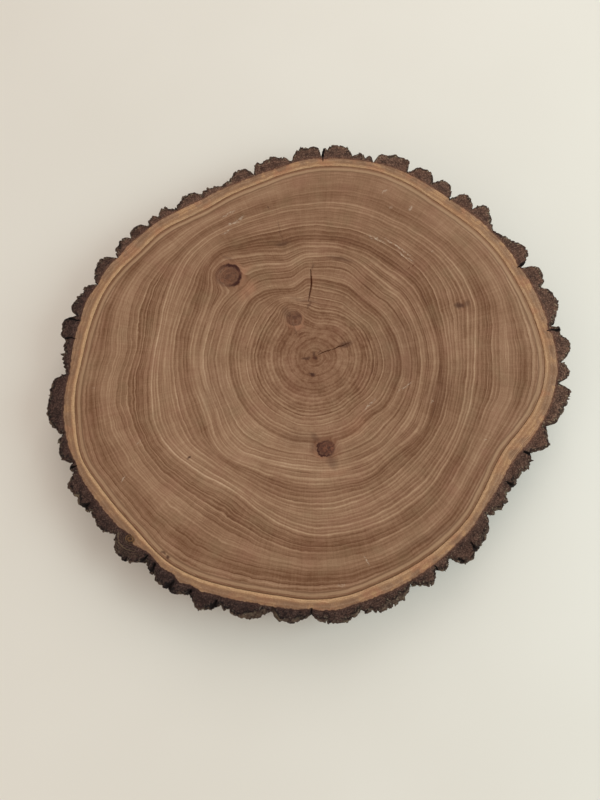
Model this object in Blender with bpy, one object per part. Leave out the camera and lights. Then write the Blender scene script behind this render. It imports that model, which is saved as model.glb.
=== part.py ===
"""A wood slice: a round cross-cut through a trunk, lying flat, with its furrowed bark on.

It is two solids: the wood, which ends at the cambium, and the ring of bark around it.
Sizes are in millimetres until a mesh is made. Angles are degrees about the pith, the centre of the
growth rings, counted from +X towards +Y. The part's origin is under the middle of its box.
"""

import math

import bmesh
import bpy
import numpy as np
from mathutils import Matrix, Vector, noise

MM = 0.001

# Driving dimensions
THICKNESS = 38.0
SEAM = 0.3
STATION_STEP = 0.85
# Points of the wood's outline closer than this, in metres, are welded
WELD = 0.00001

# The cambium, where the wood ends and the bark begins: (angle, radius)
CAMBIUM = (
    (0, 171.0), (10, 169.0), (20, 166.8), (35, 165.0), (45, 162.0), (53, 161.0), (62, 162.7),
    (72, 163.8), (82, 161.6), (90, 159.0), (99, 154.5), (107, 150.6), (115, 149.3), (124, 148.2),
    (131, 151.0), (139, 156.4), (147, 158.7), (155, 164.0), (162, 167.6), (175, 170.2), (181, 172.0),
    (188, 176.3), (196, 179.5), (204, 182.0), (212, 178.7), (219, 176.7), (226, 176.0), (234, 177.8),
    (241, 176.8), (252, 172.2), (261, 170.3), (269, 171.0), (277, 169.8), (285, 166.2), (295, 163.3),
    (305, 160.6), (313, 158.2), (320, 154.4), (328, 151.6), (334, 152.6), (340, 158.0), (346, 164.2),
    (353, 169.4),
)

# How squarely a bark plate's side meets its crest
SLOPE = 1.1
ROUND = 2.0
SQUARE = 3.5
SHEER = 6.0

# The bark's plates in order. Each has the furrow before it (angle, radius of the floor), its crest
# (angle, radius), and the form of its two sides. Its far furrow is the next plate's.
PLATES = (
    (-0.9, 184.0, 3.2, 192.5, ROUND, ROUND),
    (5.8, 186.3, 7.0, 187.0, ROUND, SHEER),
    (8.0, 180.5, 14.4, 191.0, ROUND, ROUND),
    (18.0, 184.3, 21.3, 188.9, ROUND, SQUARE),
    (24.4, 177.5, 28.6, 187.9, ROUND, SLOPE),
    (36.2, 174.8, 42.2, 186.0, SLOPE, SQUARE),
    (44.3, 177.0, 47.4, 183.0, ROUND, ROUND),
    (50.6, 171.0, 54.0, 181.8, SQUARE, ROUND),
    (56.7, 174.5, 59.8, 183.3, ROUND, ROUND),
    (63.9, 173.0, 67.2, 184.3, SHEER, ROUND),
    (70.0, 181.2, 70.7, 182.5, ROUND, SQUARE),
    (73.5, 171.3, 74.8, 176.2, ROUND, ROUND),
    (75.9, 172.8, 77.4, 177.6, ROUND, SLOPE),
    (79.3, 172.8, 83.6, 181.3, SQUARE, SQUARE),
    (86.2, 177.2, 86.8, 177.6, ROUND, SHEER),
    (87.7, 169.5, 90.0, 178.0, SHEER, SQUARE),
    (91.2, 176.2, 92.6, 178.2, ROUND, ROUND),
    (95.9, 166.5, 98.0, 171.3, ROUND, ROUND),
    (99.0, 170.5, 100.6, 172.4, ROUND, ROUND),
    (104.0, 169.0, 105.0, 170.0, ROUND, ROUND),
    (107.0, 161.0, 111.0, 168.3, SQUARE, SLOPE),
    (116.8, 159.8, 120.8, 165.3, SLOPE, ROUND),
    (123.1, 161.8, 125.6, 168.3, ROUND, ROUND),
    (126.6, 167.4, 127.6, 168.1, ROUND, SQUARE),
    (131.4, 162.0, 134.2, 171.5, ROUND, ROUND),
    (136.2, 168.0, 138.1, 173.0, SQUARE, ROUND),
    (140.0, 168.3, 144.0, 176.3, SQUARE, ROUND),
    (145.3, 173.0, 147.1, 178.0, ROUND, SQUARE),
    (151.8, 172.0, 155.8, 183.3, SQUARE, ROUND),
    (160.5, 175.8, 162.1, 183.3, SHEER, ROUND),
    (163.0, 182.5, 167.4, 187.8, ROUND, ROUND),
    (169.4, 183.5, 172.6, 191.0, SQUARE, SQUARE),
    (175.6, 185.3, 177.5, 186.9, ROUND, SQUARE),
    (178.6, 184.5, 180.0, 186.9, ROUND, ROUND),
    (183.7, 182.8, 187.0, 196.0, SQUARE, ROUND),
    (188.2, 195.0, 192.0, 200.3, SLOPE, ROUND),
    (197.5, 190.5, 201.2, 196.0, SQUARE, SQUARE),
    (204.2, 189.3, 205.4, 193.2, ROUND, ROUND),
    (206.4, 192.3, 209.4, 200.3, SQUARE, ROUND),
    (211.3, 196.6, 212.7, 197.9, ROUND, SLOPE),
    (215.7, 193.7, 218.8, 194.8, ROUND, ROUND),
    (222.6, 188.4, 226.5, 197.4, ROUND, ROUND),
    (231.5, 186.4, 233.6, 190.6, SQUARE, ROUND),
    (234.4, 190.2, 236.9, 194.1, SHEER, ROUND),
    (238.6, 192.8, 239.6, 193.4, ROUND, SLOPE),
    (243.2, 189.2, 246.4, 194.9, ROUND, SLOPE),
    (249.9, 186.3, 250.9, 188.9, ROUND, ROUND),
    (251.8, 188.3, 254.9, 191.2, ROUND, ROUND),
    (260.8, 181.2, 264.6, 188.4, SQUARE, ROUND),
    (269.2, 180.5, 275.4, 188.1, SQUARE, SQUARE),
    (279.9, 181.5, 281.1, 184.1, ROUND, ROUND),
    (282.0, 183.8, 283.8, 186.1, ROUND, ROUND),
    (292.2, 175.3, 293.9, 178.0, SLOPE, SLOPE),
    (294.5, 177.4, 296.4, 180.6, SHEER, ROUND),
    (298.6, 173.0, 300.4, 176.5, ROUND, ROUND),
    (302.6, 171.2, 305.8, 181.9, ROUND, ROUND),
    (308.8, 179.4, 310.8, 179.6, ROUND, ROUND),
    (316.5, 167.5, 318.2, 170.2, ROUND, ROUND),
    (319.3, 170.2, 321.0, 173.8, SQUARE, SQUARE),
    (323.6, 169.4, 330.0, 171.9, SLOPE, ROUND),
    (330.4, 171.8, 332.1, 174.6, SQUARE, ROUND),
    (335.6, 169.5, 339.3, 182.0, ROUND, SLOPE),
    (343.1, 175.6, 349.4, 188.3, SQUARE, ROUND),
    (350.3, 187.6, 352.1, 190.5, SLOPE, ROUND),
    (354.0, 181.6, 356.8, 189.6, ROUND, ROUND),
)

# Where the top edge of the bark has crumbled away: (middle angle, half span, width lost)
EDGE_LOSS = 0.8
LOWER_EDGE_LOSS = 2.0
CRUMBLED = (
    (209.0, 4.0, 2.2), (257.5, 5.0, 5.0), (265.0, 5.0, 3.4), (271.5, 3.0, 2.0), (278.5, 3.0, 3.0),
    (286.0, 7.0, 3.6), (304.5, 3.0, 2.4), (312.0, 5.0, 3.6), (321.5, 3.5, 2.2), (330.0, 6.0, 2.0),
    (346.5, 4.5, 3.4),
)
# The crumbled edge is deeper than it is wide, by this factor
EDGE_SLOPE = 1.5

# How the wall of the bark changes on its way down: furrows wander, plates swell and shrink, and
# many plates are broken across at some height
INNER_BARK = 8.0
WALL_RADIUS = 185.0
FURROW_DRIFT = 3.0
DRIFT_SIZE = 45.0
PLATE_RELIEF_LOSS = 0.3
RELIEF_SIZE = 16.0
ROUGHNESS = 0.7
ROUGHNESS_SIZE = 4.5
RELIEF_ONSET = 13.0
ROUGHNESS_ONSET = 6.0
BREAK_DEPTHS = (-1.5, 3.4)
BREAK_LEVELS = (9.0, 30.0)
BREAK_TILT = 2.0
BREAK_HALF_HEIGHT = 1.6
FULL_RELIEF = 12.0
BROKEN_ROW = 5
SEED = 4
# Each use of the noise reads a layer of its own, this far apart
LAYER_APART = 37.0
DRIFT, RELIEF, GRAIN, LOWER_EDGE, TILT = range(1, 6)

# Drying checks: (angle and radius of the middle, direction, length, width, depth, faces it opens on)
CHECKS = {
    "upper_check": (92.0, 58.3, 87.0, 22.0, 1.5, 8.0, (THICKNESS,)),
    "pith_check": (25.7, 15.0, 21.0, 25.0, 1.0, 6.0, (THICKNESS, 0.0)),
}
CHECK_SIDES = 12
CHECK_RINGS = 8

WOOD_COLOUR = (0.300, 0.178, 0.102)
BARK_COLOUR = (0.078, 0.047, 0.036)
WOOD_ROUGHNESS = 0.72
BARK_ROUGHNESS = 0.95
SHARP_ANGLE = 35.0


def cambium_radius(angle):
    """A smooth closed curve through the cambium's points."""
    angles = [point[0] for point in CAMBIUM]
    radii = [point[1] for point in CAMBIUM]
    angles = [angles[-2] - 360, angles[-1] - 360] + angles + [angles[0] + 360, angles[1] + 360]
    radii = radii[-2:] + radii + radii[:2]
    angle = angle % 360
    k = max(i for i in range(1, len(angles) - 2) if angles[i] <= angle)
    span = angles[k + 1] - angles[k]
    start_slope = (radii[k + 1] - radii[k - 1]) / (angles[k + 1] - angles[k - 1])
    end_slope = (radii[k + 2] - radii[k]) / (angles[k + 2] - angles[k])
    t = (angle - angles[k]) / span
    return (
        radii[k] * (2 * t**3 - 3 * t**2 + 1)
        + start_slope * span * (t**3 - 2 * t**2 + t)
        + radii[k + 1] * (3 * t**2 - 2 * t**3)
        + end_slope * span * (t**3 - t**2)
    )


def plate_stations():
    """(angle, radius, plate number) round the bark's outline, from furrow to crest to furrow."""
    stations = []
    following = PLATES[1:] + ((PLATES[0][0] + 360,) + PLATES[0][1:],)
    for number, (plate, after) in enumerate(zip(PLATES, following)):
        start, floor, crest, top, rise, fall = plate
        end, far_floor = after[:2]
        steps = max(2, round((crest - start) / STATION_STEP))
        for step in range(steps):
            t = 1 - step / steps
            radius = floor + (top - floor) * (1 - t**rise)
            stations.append((crest - (crest - start) * t, radius, number))
        steps = max(2, round((end - crest) / STATION_STEP))
        for step in range(steps):
            t = step / steps
            radius = far_floor + (top - far_floor) * (1 - t**fall)
            stations.append((crest + (end - crest) * t, radius, number))
    return stations


def rough(angle, z, size, layer):
    """Smooth noise from -1 to 1 over the bark's wall, closed round the trunk."""
    turn = math.radians(angle)
    place = Vector((WALL_RADIUS * math.cos(turn), WALL_RADIUS * math.sin(turn), z)) / size
    return noise.noise(place + Vector((0, 0, LAYER_APART * layer)))


def edge_loss(angle):
    """Width of sawn edge that has crumbled away at this angle."""
    lost = EDGE_LOSS
    for middle, half_span, width in CRUMBLED:
        away = abs((angle - middle + 180) % 360 - 180) / half_span
        if away < 1:
            lost += width * math.cos(away * math.pi / 2) ** 2
    return lost


def wall_point(angle, radius, z):
    """(angle, radius, height) on the bark's wall, below a station of the top outline."""
    below = THICKNESS - z
    drift = FURROW_DRIFT * below / THICKNESS * rough(angle, z, DRIFT_SIZE, DRIFT)
    relief = max(radius - cambium_radius(angle) - INNER_BARK, 0)
    lost = PLATE_RELIEF_LOSS * (0.5 + rough(angle, z, RELIEF_SIZE, RELIEF)) * min(1, below / RELIEF_ONSET)
    grain = ROUGHNESS * (0.5 - rough(angle, z, ROUGHNESS_SIZE, GRAIN)) * min(1, below / ROUGHNESS_ONSET)
    return angle + drift, radius - relief * max(lost, 0) - grain, z


def bark_rings():
    """The loops of points that the bark is lofted through, once round its section."""
    columns = []
    draw = np.random.default_rng(SEED)
    break_depths = draw.uniform(*BREAK_DEPTHS, len(PLATES)).clip(0)
    break_levels = draw.uniform(*BREAK_LEVELS, len(PLATES))
    for angle, radius, number in plate_stations():
        seam = cambium_radius(angle) + SEAM / 2
        loss = edge_loss(angle)
        lower_loss = EDGE_LOSS + LOWER_EDGE_LOSS * max(0, rough(angle, 0, RELIEF_SIZE, LOWER_EDGE))
        top = THICKNESS - loss * EDGE_SLOPE
        bottom = lower_loss * EDGE_SLOPE
        middle = float(break_levels[number]) + BREAK_TILT * rough(angle, 0, RELIEF_SIZE, TILT)
        above, below = middle + BREAK_HALF_HEIGHT, middle - BREAK_HALF_HEIGHT
        column = [(angle, seam, THICKNESS), (angle, radius - loss, THICKNESS)]
        for z in (top, (top + above) / 2, above, middle, below, (below + bottom) / 2, bottom):
            column.append(wall_point(angle, radius, z))
        relief = max(radius - seam - INNER_BARK, 0)
        cut = break_depths[number] * min(1, relief / FULL_RELIEF)
        turned, uncut, z = column[BROKEN_ROW]
        column[BROKEN_ROW] = (turned, uncut - cut, z)
        foot_angle, foot_radius, _ = wall_point(angle, radius, 0)
        column.append((foot_angle, foot_radius - lower_loss, 0))
        column.append((angle, seam, 0))
        columns.append(column)
    return list(zip(*columns))


def to_point(angle, radius, z, centre):
    """A point in metres from its place about the pith."""
    turn = math.radians(angle)
    x = radius * math.cos(turn) - centre[0]
    y = radius * math.sin(turn) - centre[1]
    return Vector((x, y, z)) * MM


def box_centre(rings):
    """The middle of the bark's box seen from above, from the pith."""
    flat = [(radius * math.cos(math.radians(a)), radius * math.sin(math.radians(a)))
            for ring in rings for a, radius, _ in ring]
    xs, ys = zip(*flat)
    return (min(xs) + max(xs)) / 2, (min(ys) + max(ys)) / 2


def make_material(name, colour, roughness):
    material = bpy.data.materials.new(name)
    material.use_nodes = True
    shader = material.node_tree.nodes["Principled BSDF"]
    shader.inputs["Base Color"].default_value = (*colour, 1)
    shader.inputs["Roughness"].default_value = roughness
    shader.inputs["Metallic"].default_value = 0
    return material


def add_object(name, mesh, collection):
    thing = bpy.data.objects.new(name, mesh)
    collection.objects.link(thing)
    return thing


def finish(thing, material):
    thing.data.materials.clear()
    thing.data.materials.append(material)
    thing.data.shade_smooth()
    thing.data.set_sharp_from_angle(angle=math.radians(SHARP_ANGLE))


def make_bark(collection, rings, centre):
    """The bark is a loft through its rings of points, closed into a furrowed ring."""
    work = bmesh.new()
    loops = [[work.verts.new(to_point(*point, centre)) for point in ring] for ring in rings]
    count = len(loops[0])
    for upper, lower in zip(loops, loops[1:] + loops[:1]):
        for i in range(count):
            j = (i + 1) % count
            work.faces.new((upper[i], upper[j], lower[j], lower[i]))
    bmesh.ops.recalc_face_normals(work, faces=work.faces)
    mesh = bpy.data.meshes.new("bark")
    work.to_mesh(mesh)
    work.free()
    bark = add_object("bark", mesh, collection)
    finish(bark, make_material("bark", BARK_COLOUR, BARK_ROUGHNESS))
    return bark


def make_wood(collection, centre):
    """The wood is the cambium's outline filled and extruded, then made a mesh so that it can be cut."""
    curve = bpy.data.curves.new("wood_outline", "CURVE")
    curve.dimensions = "2D"
    curve.fill_mode = "BOTH"
    curve.extrude = THICKNESS / 2 * MM
    spline = curve.splines.new("POLY")
    stations = plate_stations()
    spline.points.add(len(stations) - 1)
    for point, (angle, _, _) in zip(spline.points, stations):
        place = to_point(angle, cambium_radius(angle) - SEAM / 2, 0, centre)
        point.co = (*place, 1)
    spline.use_cyclic_u = True
    outline = add_object("wood_outline", curve, collection)
    outline.location.z = THICKNESS / 2 * MM
    bpy.context.view_layer.update()

    graph = bpy.context.evaluated_depsgraph_get()
    mesh = bpy.data.meshes.new_from_object(outline.evaluated_get(graph))
    mesh.transform(outline.matrix_world)
    bpy.data.objects.remove(outline)
    bpy.data.curves.remove(curve)
    work = bmesh.new()
    work.from_mesh(mesh)
    bmesh.ops.remove_doubles(work, verts=work.verts, dist=WELD)
    bmesh.ops.recalc_face_normals(work, faces=work.faces)
    work.to_mesh(mesh)
    work.free()
    mesh.name = "wood"
    wood = add_object("wood", mesh, collection)
    finish(wood, make_material("wood", WOOD_COLOUR, WOOD_ROUGHNESS))
    return wood


def cut_checks(wood, cutters, centre):
    """Each drying check is a narrow groove that runs out to a point at both ends."""
    for name, (angle, radius, direction, length, width, depth, levels) in CHECKS.items():
        for level in levels:
            mesh = bpy.data.meshes.new(f"{name}_{level:.0f}")
            work = bmesh.new()
            bmesh.ops.create_uvsphere(work, u_segments=CHECK_SIDES, v_segments=CHECK_RINGS, radius=1)
            stretch = Matrix.Diagonal((length / 2 * MM, width / 2 * MM, depth * MM, 1))
            bmesh.ops.transform(work, matrix=stretch, verts=work.verts)
            work.to_mesh(mesh)
            work.free()
            cutter = add_object(mesh.name, mesh, cutters)
            cutter.location = to_point(angle, radius, level, centre)
            cutter.rotation_euler.z = math.radians(direction)
            cutter.hide_render = True
            cutter.display_type = "WIRE"
            cut = wood.modifiers.new(mesh.name, "BOOLEAN")
            cut.operation = "DIFFERENCE"
            cut.solver = "EXACT"
            cut.object = cutter


def main():
    for thing in list(bpy.data.objects):
        bpy.data.objects.remove(thing)
    collection = bpy.data.collections.new("wood_slice")
    cutters = bpy.data.collections.new("wood_slice_cutters")
    bpy.context.scene.collection.children.link(collection)
    bpy.context.scene.collection.children.link(cutters)
    rings = bark_rings()
    centre = box_centre(rings)
    make_bark(collection, rings, centre)
    wood = make_wood(collection, centre)
    cut_checks(wood, cutters, centre)


main()
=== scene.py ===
"""The looks of the wood slice: its ringed wood and its furrowed bark, lying on a plain pale floor.

Sizes are in millimetres until a mesh is made. Angles are degrees about the pith, the centre of the
growth rings, counted from +X towards +Y.
"""

import itertools
import math

import bmesh
import bpy
import numpy as np
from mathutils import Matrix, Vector
from mathutils.bvhtree import BVHTree


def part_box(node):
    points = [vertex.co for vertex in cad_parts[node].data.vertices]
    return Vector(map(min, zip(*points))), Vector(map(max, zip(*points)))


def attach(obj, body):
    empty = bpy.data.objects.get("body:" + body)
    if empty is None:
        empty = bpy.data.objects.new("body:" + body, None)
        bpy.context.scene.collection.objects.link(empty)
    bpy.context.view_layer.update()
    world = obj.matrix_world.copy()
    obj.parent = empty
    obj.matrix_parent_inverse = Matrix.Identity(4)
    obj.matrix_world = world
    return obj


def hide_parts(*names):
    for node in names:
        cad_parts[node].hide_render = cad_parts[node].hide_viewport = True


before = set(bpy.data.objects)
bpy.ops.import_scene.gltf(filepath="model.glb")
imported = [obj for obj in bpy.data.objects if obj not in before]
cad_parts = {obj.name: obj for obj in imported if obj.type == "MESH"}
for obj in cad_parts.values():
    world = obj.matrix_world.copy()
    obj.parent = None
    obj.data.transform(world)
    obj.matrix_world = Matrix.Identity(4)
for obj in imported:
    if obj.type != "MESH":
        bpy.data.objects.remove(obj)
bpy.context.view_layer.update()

MM = 0.001
SEED = 7

# The pith in the frame, and the two sawn faces
PITH = (1.858, 3.643)
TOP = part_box("wood")[1].z / MM
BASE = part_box("wood")[0].z / MM

# The camera looks almost straight down
CAMERA_FOOT = (-8.39, -128.61)
CAMERA_HEIGHT = 434
CAMERA_TILT = 13
FOCAL_PIXELS = 610
LONG_SIDE_PIXELS = 800
SENSOR = 36

# Growth rings: the number of a ring, and its radius at some angles round the trunk
RINGS = {
    6: {0: 17, 40: 16.6, 80: 15.5, 120: 14.8, 180: 14, 240: 14.2, 300: 14.5, 330: 15.8},
    14: {
        0: 36, 20: 36, 40: 35.5, 60: 34, 72: 32.5, 84: 31.2, 91: 32.3, 97: 35, 104: 38.5, 110: 42,
        116: 43.5, 122: 42.5, 130: 39, 140: 37, 180: 36.5, 240: 36.5, 300: 35.5, 330: 35.5,
    },
    23: {
        0: 62, 10: 61, 20: 60, 30: 59.6, 38: 58, 45: 56.6, 50: 56.6, 56: 57.4, 64: 59.6, 76: 59.6,
        88: 60, 95: 60.5, 99: 58, 104: 56, 109: 56.4, 116: 59, 124: 62, 133: 64, 145: 62, 165: 60,
        180: 60, 210: 60, 240: 60.5, 270: 61, 290: 60.5, 300: 60, 308: 58.2, 314: 58.2, 322: 60.3,
        330: 61.5, 340: 61.6, 350: 62.8,
    },
    31: {
        0: 79.5, 15: 79, 30: 79.5, 38: 79.5, 45: 77.4, 52: 77.6, 60: 79, 66: 81.6, 74: 83.8, 82: 82.5,
        90: 81, 95: 80.3, 99: 77.8, 104: 75.2, 109: 76, 116: 79.6, 123: 82.5, 128: 82.5, 133: 81,
        140: 82, 150: 82.5, 165: 81, 180: 81.5, 190: 81, 200: 80.5, 210: 81, 217: 83.5, 225: 86,
        232: 86.5, 240: 84, 250: 81.5, 260: 80, 275: 81, 290: 82, 305: 82.5, 320: 81.5, 335: 80.5,
        350: 79.5,
    },
    37: {
        0: 91, 10: 90.6, 20: 91, 30: 92, 36: 92.8, 43: 92, 50: 90.8, 60: 92, 75: 92.6, 90: 92, 97: 92,
        101: 91, 105: 89.6, 110: 92, 115: 95, 121: 98.6, 127: 104, 132: 107, 138: 105, 145: 97,
        152: 92.5, 162: 90.8, 180: 90.5, 190: 89.7, 200: 88.5, 207: 88.8, 213: 90.7, 219: 93.6,
        225: 95.5, 231: 95, 240: 92, 250: 91, 260: 91, 280: 92, 297: 93, 306: 90.8, 312: 90.8, 318: 92.5,
        325: 93.2, 332: 91.5, 340: 90, 350: 90,
    },
    43: {
        0: 101, 10: 102, 20: 104.6, 30: 108, 40: 110, 50: 110, 60: 110, 72: 111, 85: 110.4, 100: 109.6,
        105: 109, 110: 110, 120: 113, 130: 116.5, 140: 114.5, 150: 109.5, 160: 107.5, 170: 106.5,
        180: 106, 190: 106, 200: 107, 207: 108, 213: 108.3, 220: 107, 226: 105, 232: 104, 240: 103.5,
        250: 105, 260: 107.5, 270: 109, 280: 108.5, 290: 107.4, 300: 106, 310: 104.5, 320: 104,
        330: 103.5, 340: 102, 350: 101,
    },
    50: {
        0: 119.5, 5: 120.5, 10: 123, 15: 126, 20: 129, 30: 131.5, 40: 131.5, 50: 130, 60: 129, 72: 129.6,
        80: 129, 90: 127, 100: 125.6, 110: 125, 120: 126, 130: 128, 140: 128, 150: 124, 160: 120,
        170: 117.4, 178: 118.3, 190: 120.8, 195: 122.3, 200: 124, 205: 125, 210: 124.8, 215: 123,
        220: 120.5, 225: 118, 230: 115.6, 235: 113.8, 240: 113.6, 245: 115, 250: 117.8, 255: 120.6,
        260: 123.6, 265: 126.5, 270: 128, 278: 128.4, 290: 127.6, 303: 126, 310: 125, 320: 122, 330: 120,
        340: 119, 350: 118.6,
    },
    56: {
        0: 138.5, 5: 139.5, 10: 142, 20: 146, 30: 146.5, 45: 145, 60: 144.5, 72: 146, 80: 144.6, 90: 141,
        100: 137.6, 110: 136.4, 120: 136.4, 130: 138, 141: 140, 147: 142.6, 153: 144.6, 160: 145,
        170: 142.4, 178: 140.5, 183: 143, 187: 146.5, 190: 148, 195: 149, 200: 148.6, 207: 147, 215: 145,
        222: 142.8, 230: 140, 240: 139.6, 250: 141, 260: 143.5, 270: 145.4, 280: 145, 290: 144,
        303: 141.6, 310: 140, 317: 137, 325: 134.4, 335: 134, 340: 134.8, 345: 137, 350: 139,
    },
    60: {
        0: 153.5, 10: 154, 20: 155.2, 35: 154, 45: 152, 60: 152.4, 72: 154, 82: 152, 90: 149.4, 100: 145,
        110: 142, 120: 141.4, 130: 144, 141: 149, 150: 153, 160: 156, 170: 156.6, 178: 156, 183: 158.6,
        187: 161, 192: 163, 200: 164.6, 207: 163.4, 213: 161.4, 220: 159, 230: 158, 240: 157.6, 250: 156,
        260: 155, 270: 155.6, 280: 155.4, 290: 153.4, 303: 150.4, 310: 148.6, 317: 145, 325: 142,
        332: 142.6, 338: 145, 345: 149.6, 352: 152.8,
    },
}
LAST_RING = 64

# Where the tan inner bark ends and the dark outer bark begins: its radius at some angles
INNER_BARK = {
    0: 180.5, 6: 179.5, 7: 177, 10: 178.3, 14: 177.3, 20: 176.3, 24: 174.8, 25.3: 173.5, 27: 174.8,
    33: 174, 36.5: 172.5, 40: 172.7, 45: 171, 50.3: 169.3, 53: 169.8, 58: 170, 62: 171, 70: 171.3,
    75: 170, 80: 169, 85: 168, 87.2: 166.5, 89: 167.3, 92: 166, 95: 164, 98: 162, 101: 160.3, 104: 159.2,
    107: 158.2, 112: 157, 124: 157, 128: 159, 130: 159.8, 138: 165, 142: 166.5, 148: 170, 151: 170.3,
    154: 173, 157: 174.5, 160: 174.5, 166: 178.5, 170: 177.8, 175: 179.3, 179: 179.8, 183.5: 180.3,
    186: 182.5, 189: 184.5, 194: 187.3, 201: 188.2, 205: 187, 207: 187.8, 210: 187, 214: 185.5,
    219: 184.3, 222: 183.5, 225: 181, 227: 184, 230: 181.3, 232: 181.5, 235: 183.3, 238: 182.3, 240: 185,
    242: 182.5, 245: 182.8, 248: 181, 252: 179.8, 256: 178.2, 260: 177.8, 267: 177.7, 269: 176.8,
    271: 178, 275: 178.3, 279: 176, 283: 174.5, 288: 173, 295: 170.5, 302: 168, 306: 166.5, 312: 165,
    316: 162.5, 319: 161.8, 325: 160.8, 330: 160.3, 334: 162.5, 338: 167, 342: 170.5, 346: 174, 350: 177,
    354: 178.8, 356: 180,
}

# Cracks in the wood: the points (angle, radius, half width) that each runs through, its depth, and
# whether it shows on the underside too
CRACKS = (
    (((94.9, 45.9, 0.05), (93.9, 48.5, 0.3), (93.3, 51, 0.4), (92, 56, 0.6), (91.4, 60, 0.8),
      (91.5, 64, 0.7), (91.7, 68.9, 0.35), (91.4, 73, 0.05)), 2.6, False),
    (((37, 5, 0.2), (33, 7.5, 0.35), (30.5, 10.5, 0.4), (26.5, 13.5, 0.35), (25.8, 15.2, 0.12),
      (24.6, 17.2, 0.35), (26.2, 20.4, 0.45), (23.6, 23.6, 0.35), (24.8, 27, 0.2),
      (22.8, 30, 0.03)), 1.8, True),
    (((44.8, 98.5, 0.05), (44.3, 103.5, 0.35), (43.9, 108.5, 0.05)), 0.8, False),
)

# Cracks and crumbled hollows in the sawn bark, darkened with painted shade: (angle, outer radius, inner
# radius, half width)
BARK_CRACKS = (
    (7, 182, 177, 0.8), (25, 178, 173.5, 0.9), (50.4, 172, 169, 0.9), (87.2, 171, 166, 0.9),
    (170.5, 184, 178.6, 0.7), (175.2, 185.5, 179.6, 0.7), (205.2, 190, 187, 0.7), (214, 194, 191.5, 1.7),
    (228.1, 195.5, 194, 1), (231, 188, 183, 1.3), (233.5, 190.5, 184.6, 2.2), (238.6, 191, 187, 2.8),
    (243, 189.5, 186, 2), (248.6, 188, 184.5, 2.3), (269.2, 182, 176.8, 0.9), (299, 174, 170, 0.8),
    (304.5, 177, 175, 1.6), (309.2, 177.5, 172.5, 1.4), (326.2, 167.6, 164.4, 1.5),
    (335.2, 170, 165.5, 1.2),
)
BARK_CRACK_DEPTH = 2.5
CRACK_SWAY = 0.8
HOLLOW_WIDTH = 3.2

# The wood's grid: columns round the trunk, and rows on the upper face and on the underside
WOOD_COLUMNS = 900
WOOD_TOP_ROWS = 88
WOOD_BASE_ROWS = 20

# The bark's grid: columns, rows on both faces, how far inside them the wall ends, and its levels
BARK_COLUMNS = 2560
FACE_ROWS = 11
BASE_ROWS = 6
SKIN = 0.03
WALL_LEVELS = (
    37.3, 36.3, 35, 33.4, 31.6, 29.6, 27.4, 25.2, 23, 20.8, 18.6, 16.4, 14.2, 12, 9.8,
    7.6, 5.6, 3.8, 2.2, 0.9,
)

# Rays to a solid's walls: how many go round it, and where they start
OUTLINE_SAMPLES = 7200
FAR_OUT = 240

# Furrows are measured from the furthest wall within these degrees, smoothed over these columns
FURROW_SPAN = 7
SMOOTHED_COLUMNS = 24

# Columns to either side in which the nearest part of the bark's edge is looked for
EDGE_COLUMNS = 40

# Relief of the bark's wall: its plates, grooves, fine grooves, grain and dents, and the shift outwards
# that sets all this about the solid's wall
PLATES = 0.8
GROOVES = 1.5
FINE_GROOVES = 0.4
GRAIN = 0.5
DENTS = 2
OUTWARDS = 1.1

# The bark's upper edge is worn back: everywhere, in notches and in small notches
WORN = 0.2
NOTCHES = 1.3
SMALL_NOTCHES = 0.7

# Cells along each side of the block of random values that noise is drawn from
LATTICE = 32

# Loose scales of bark: how many, their half sizes along the wall, up it and out of it, how much larger
# or smaller each is, how uneven its corners are, how far it leans, and how deep it sits in the wall
FLAKES = 2400
FLAKE_SIZES = ((0.6, 2), (0.9, 3.2), (0.4, 1))
FLAKE_SCALES = (0.6, 1.3)
FLAKE_CORNERS = (0.7, 1.25)
FLAKE_LEAN = 0.35
FLAKE_DEPTH = 0.25


def to_frame(angle, radius, z):
    """Points in metres in the frame, from their places about the pith."""
    turn = np.radians(angle)
    x = PITH[0] + radius * np.cos(turn)
    y = PITH[1] + radius * np.sin(turn)
    return np.stack(np.broadcast_arrays(x, y, z), -1) * MM


def cubic(t, span, start, start_slope, end, end_slope):
    """A smooth curve from start to end with these slopes, read at a share t of the span."""
    return (
        start * (2 * t**3 - 3 * t**2 + 1)
        + start_slope * span * (t**3 - 2 * t**2 + t)
        + end * (3 * t**2 - 2 * t**3)
        + end_slope * span * (t**3 - t**2)
    )


def smooth_loop(points, angle):
    """A smooth closed curve with these radii at these angles, read at other angles."""
    at, radius = np.array([*points.items()], float).T
    at = np.concatenate([at[-2:] - 360, at, at[:2] + 360])
    radius = np.concatenate([radius[-2:], radius, radius[:2]])
    slope = np.gradient(radius, at)
    k = np.searchsorted(at, angle, side="right") - 1
    span = at[k + 1] - at[k]
    return cubic((angle - at[k]) / span, span, radius[k], slope[k], radius[k + 1], slope[k + 1])


def lumps(points, size, layer, squeeze=1):
    """Smooth noise from -1 to 1 at points in mm, in lumps of this size, longer along Z by 1 / squeeze."""
    block = np.random.default_rng(SEED + layer).uniform(-1, 1, (LATTICE,) * 3)
    cell = points * np.array((1, 1, squeeze)) / size
    low = np.floor(cell).astype(int)
    t = cell - low
    t = t * t * (3 - 2 * t)
    total = np.zeros(points.shape[:-1])
    for corner in itertools.product((0, 1), repeat=3):
        weight = np.prod(np.where(corner, t, 1 - t), axis=-1)
        x, y, z = np.moveaxis((low + corner) % LATTICE, -1, 0)
        total += weight * block[x, y, z]
    return total


def crumbs(points, size, layer, octaves, squeeze):
    """Lumps with finer lumps on them."""
    total = sum(lumps(points, size / 2**k, layer + k, squeeze) / 1.6**k for k in range(octaves))
    return total / 1.6


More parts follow.
